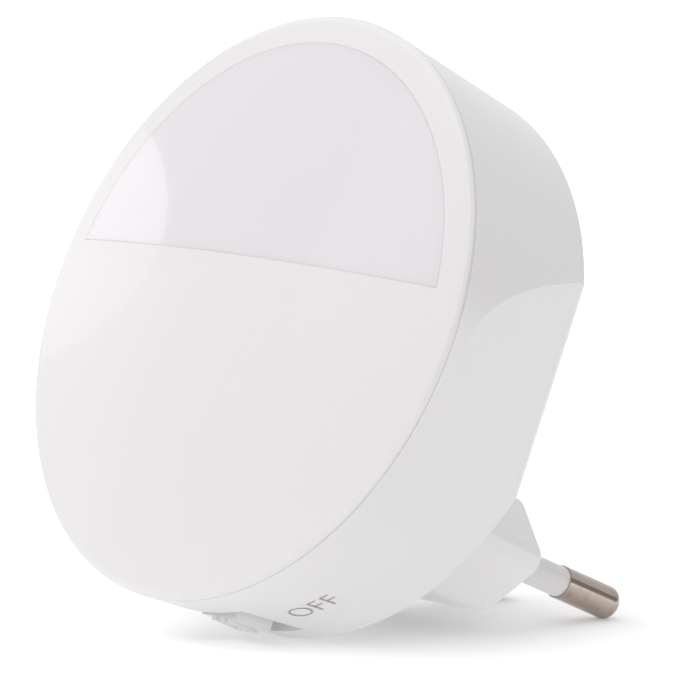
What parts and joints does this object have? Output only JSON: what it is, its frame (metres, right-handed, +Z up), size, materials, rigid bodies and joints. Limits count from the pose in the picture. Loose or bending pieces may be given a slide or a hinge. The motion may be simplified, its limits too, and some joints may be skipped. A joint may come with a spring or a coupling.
{
  "type": "plug in night light",
  "caption": "Round night light that plugs straight into a wall socket, with a domed front, a half-moon light window and a slide switch under its rim.",
  "frame": {"origin": "centre of the plug's end face, midway between the two pins, in the plane of the socket's face", "axes": "+Z up and +Y into the wall along the pins, as plugged in, so the domed front faces -Y; +X is to the right of someone who looks at the front"},
  "size_m": [0.07, 0.0624, 0.07],
  "materials": {
    "case_white": "satin white moulding",
    "cover_white": "satin white moulding",
    "window_milky": "glossy milky moulding",
    "board_green": "green solder mask",
    "led_cream": "phosphor in a white package",
    "tray_white": "matt white",
    "diffuser_opal": "opal sheet",
    "pin_nickel": "nickel plated",
    "sleeve_white": "white sleeve",
    "strip_brass": "bright strip",
    "carrier_white": "natural moulding",
    "screw_steel": "zinc plated",
    "film_yellow": "moulded box",
    "can_black": "sleeved can",
    "mould_black": "moulded package",
    "resistor_beige": "lacquered",
    "switch_black": "moulded",
    "shell_steel": "tinned",
    "terminal_tin": "tinned",
    "knob_white": "gloss white"
  },
  "bodies": {
    "lamp": {"rear_case": "case_white", "front_cover": "cover_white", "light_window": "window_milky", "circuit_board": "board_green", "led_1": "led_cream", "led_2": "led_cream", "led_3": "led_cream", "led_4": "led_cream", "reflector": "tray_white", "diffuser": "diffuser_opal", "pin_left": "pin_nickel", "pin_right": "pin_nickel", "pin_sleeve_left": "sleeve_white", "pin_sleeve_right": "sleeve_white", "contact_strip_left": "strip_brass", "contact_strip_right": "strip_brass", "pin_carrier": "carrier_white", "board_screws": "screw_steel", "carrier_screw": "screw_steel", "film_capacitor": "film_yellow", "smoothing_capacitor": "can_black", "bridge_rectifier": "mould_black", "fuse_resistor": "resistor_beige", "bleed_resistor": "resistor_beige", "switch_base": "switch_black", "switch_shell": "shell_steel", "terminal_left": "terminal_tin", "terminal_middle": "terminal_tin", "terminal_right": "terminal_tin"},
    "slider": {"switch_stem": "switch_black", "switch_wiper": "strip_brass", "switch_knob": "knob_white"}
  },
  "joints": [
    {"name": "switch_slide", "type": "slide", "parent": "lamp", "child": "slider", "axis": [1, 0, 0], "range_m": [-0.004, 0]}
  ]
}
